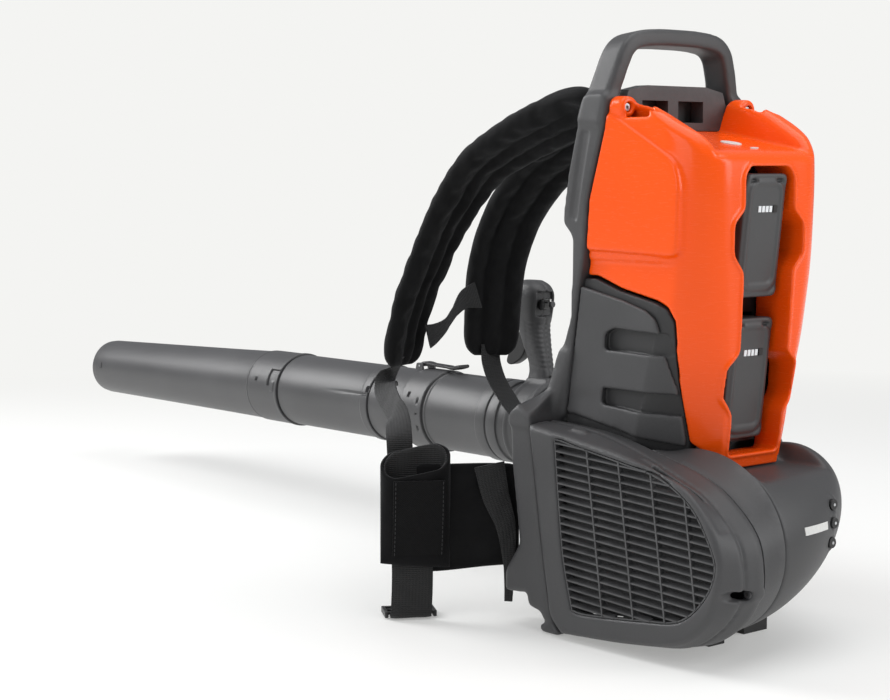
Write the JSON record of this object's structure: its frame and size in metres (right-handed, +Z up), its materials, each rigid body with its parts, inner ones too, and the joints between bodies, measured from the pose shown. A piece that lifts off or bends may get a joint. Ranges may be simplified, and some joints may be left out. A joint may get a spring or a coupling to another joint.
{
  "type": "backpack leaf blower",
  "caption": "Battery backpack leaf blower: padded harness, orange battery cover, side-intake fan housing, and a flexible blow tube with a trigger handle.",
  "frame": {"origin": "middle of the base skid's underside, on the floor, straight below the line between the battery cover's two top screws and on the pack's plane of symmetry", "axes": "+X the wearer's right, +Y forward along the blow tube, +Z up"},
  "size_m": [0.4193, 1.4625, 0.5636],
  "materials": {
    "dark_plastic": "fine-textured moulded dark grey plastic",
    "tube_plastic": "satin dark grey plastic",
    "black_plastic": "satin black plastic",
    "orange_plastic": "glossy orange plastic",
    "rubber": "matte rubber",
    "hose_rubber": "satin rubber",
    "steel": "zinc-plated steel",
    "aluminium": "cast, satin",
    "copper_winding": "varnished copper wire on laminated steel",
    "circuit_board": "solder mask",
    "harness_fabric": "padded woven polyester",
    "webbing": "ribbed polyester webbing"
  },
  "bodies": {
    "pack": {"back_frame": "dark_plastic", "vent_panel": "dark_plastic", "battery_cover": "orange_plastic", "cover_screw_left": "steel", "cover_screw_right": "steel", "side_cover_left": "dark_plastic", "side_cover_right": "dark_plastic", "battery_bay": "black_plastic", "terminal_block_upper": "black_plastic", "terminal_block_lower": "black_plastic", "controller_board": "circuit_board", "fan_housing_outer": "dark_plastic", "fan_housing_inner": "dark_plastic", "motor_stator": "copper_winding", "motor_housing": "aluminium", "bearing_front": "steel", "bearing_rear": "steel", "motor_mount": "dark_plastic", "housing_screw_top": "black_plastic", "housing_screw_middle": "black_plastic", "housing_screw_bottom": "black_plastic", "intake_cover": "dark_plastic", "intake_grille": "black_plastic", "base_skid": "rubber", "foot_rear_left": "rubber", "foot_rear_right": "rubber", "hose_root": "hose_rubber", "control_cable": "hose_rubber", "back_pad": "harness_fabric", "lumbar_pad": "harness_fabric", "shoulder_strap_left": "harness_fabric", "shoulder_strap_right": "harness_fabric", "strap_webbing_left": "webbing", "strap_webbing_right": "webbing", "chest_strap": "webbing", "hip_wing_left": "harness_fabric", "hip_wing_right": "harness_fabric", "hip_webbing_left": "webbing", "hip_webbing_right": "webbing", "hip_buckle_left": "black_plastic"},
    "rotor": {"rotor_shaft": "steel", "impeller": "black_plastic"},
    "hose_middle": {"hose_mid": "hose_rubber"},
    "tube": {"hose_front": "hose_rubber", "control_tube": "tube_plastic", "control_cable_front": "hose_rubber"},
    "handle": {"handle_clamp": "dark_plastic", "grip": "dark_plastic"},
    "trigger": {"trigger": "black_plastic"},
    "cruise_lever": {"cruise_lever": "black_plastic"},
    "power_button": {"power_button": "black_plastic"},
    "tube_lock": {"tube_lock_lever": "black_plastic"},
    "front_tube": {"front_tube": "tube_plastic"},
    "nozzle": {"nozzle": "tube_plastic"},
    "battery_upper": {"battery_upper": "dark_plastic"},
    "battery_lower": {"battery_lower": "dark_plastic"},
    "latch_upper_left": {"battery_latch_upper_left": "black_plastic"},
    "latch_upper_right": {"battery_latch_upper_right": "black_plastic"},
    "latch_lower_left": {"battery_latch_lower_left": "black_plastic"},
    "latch_lower_right": {"battery_latch_lower_right": "black_plastic"}
  },
  "joints": [
    {"name": "fan_spin", "type": "hinge", "parent": "pack", "child": "rotor", "pos_m": [-0.06, -0.078, 0.098], "axis": [1, 0, 0], "continuous": true},
    {"name": "hose_yaw", "type": "hinge", "parent": "pack", "child": "hose_middle", "pos_m": [0.14, 0.162, 0.143], "axis": [0, 0, 1], "range_deg": [-12, 6]},
    {"name": "tube_pitch", "type": "hinge", "parent": "hose_middle", "child": "tube", "pos_m": [0.14, 0.236, 0.143], "axis": [1, 0, 0], "range_deg": [-4, 12]},
    {"name": "handle_slide", "type": "slide", "parent": "tube", "child": "handle", "axis": [0, 1, 0], "range_m": [-0.013, 0.013]},
    {"name": "trigger_pull", "type": "hinge", "parent": "handle", "child": "trigger", "pos_m": [0.14, 0.367, 0.249], "axis": [-1, 0, 0], "range_deg": [0, 12]},
    {"name": "cruise_turn", "type": "hinge", "parent": "handle", "child": "cruise_lever", "pos_m": [0.14, 0.338, 0.281], "axis": [1, 0, 0], "range_deg": [-15, 15]},
    {"name": "power_press", "type": "slide", "parent": "handle", "child": "power_button", "axis": [0, 1, 0], "range_m": [0, 0.0025]},
    {"name": "lock_lift", "type": "hinge", "parent": "tube", "child": "tube_lock", "pos_m": [0.14, 0.55, 0.195], "axis": [-1, 0, 0], "range_deg": [0, 30]},
    {"name": "front_tube_twist", "type": "hinge", "parent": "tube", "child": "front_tube", "pos_m": [0.14, 0.609, 0.143], "axis": [0, 1, 0], "range_deg": [0, 30]},
    {"name": "nozzle_twist", "type": "hinge", "parent": "front_tube", "child": "nozzle", "pos_m": [0.14, 0.8, 0.143], "axis": [0, 1, 0], "range_deg": [0, 30]},
    {"name": "battery_upper_slide", "type": "slide", "parent": "pack", "child": "battery_upper", "axis": [0, -1, 0], "range_m": [0, 0.115]},
    {"name": "battery_lower_slide", "type": "slide", "parent": "pack", "child": "battery_lower", "axis": [0, -1, 0], "range_m": [0, 0.1]},
    {"name": "latch_upper_left_press", "type": "slide", "parent": "battery_upper", "child": "latch_upper_left", "axis": [1, 0, 0], "range_m": [0, 0.0025]},
    {"name": "latch_upper_right_press", "type": "slide", "parent": "battery_upper", "child": "latch_upper_right", "axis": [-1, 0, 0], "range_m": [0, 0.0025]},
    {"name": "latch_lower_left_press", "type": "slide", "parent": "battery_lower", "child": "latch_lower_left", "axis": [1, 0, 0], "range_m": [0, 0.0025]},
    {"name": "latch_lower_right_press", "type": "slide", "parent": "battery_lower", "child": "latch_lower_right", "axis": [-1, 0, 0], "range_m": [0, 0.0025]}
  ],
  "couplings": [
    {"joint": "latch_upper_right_press", "follows": "latch_upper_left_press", "ratio": 1},
    {"joint": "latch_lower_right_press", "follows": "latch_lower_left_press", "ratio": 1}
  ]
}
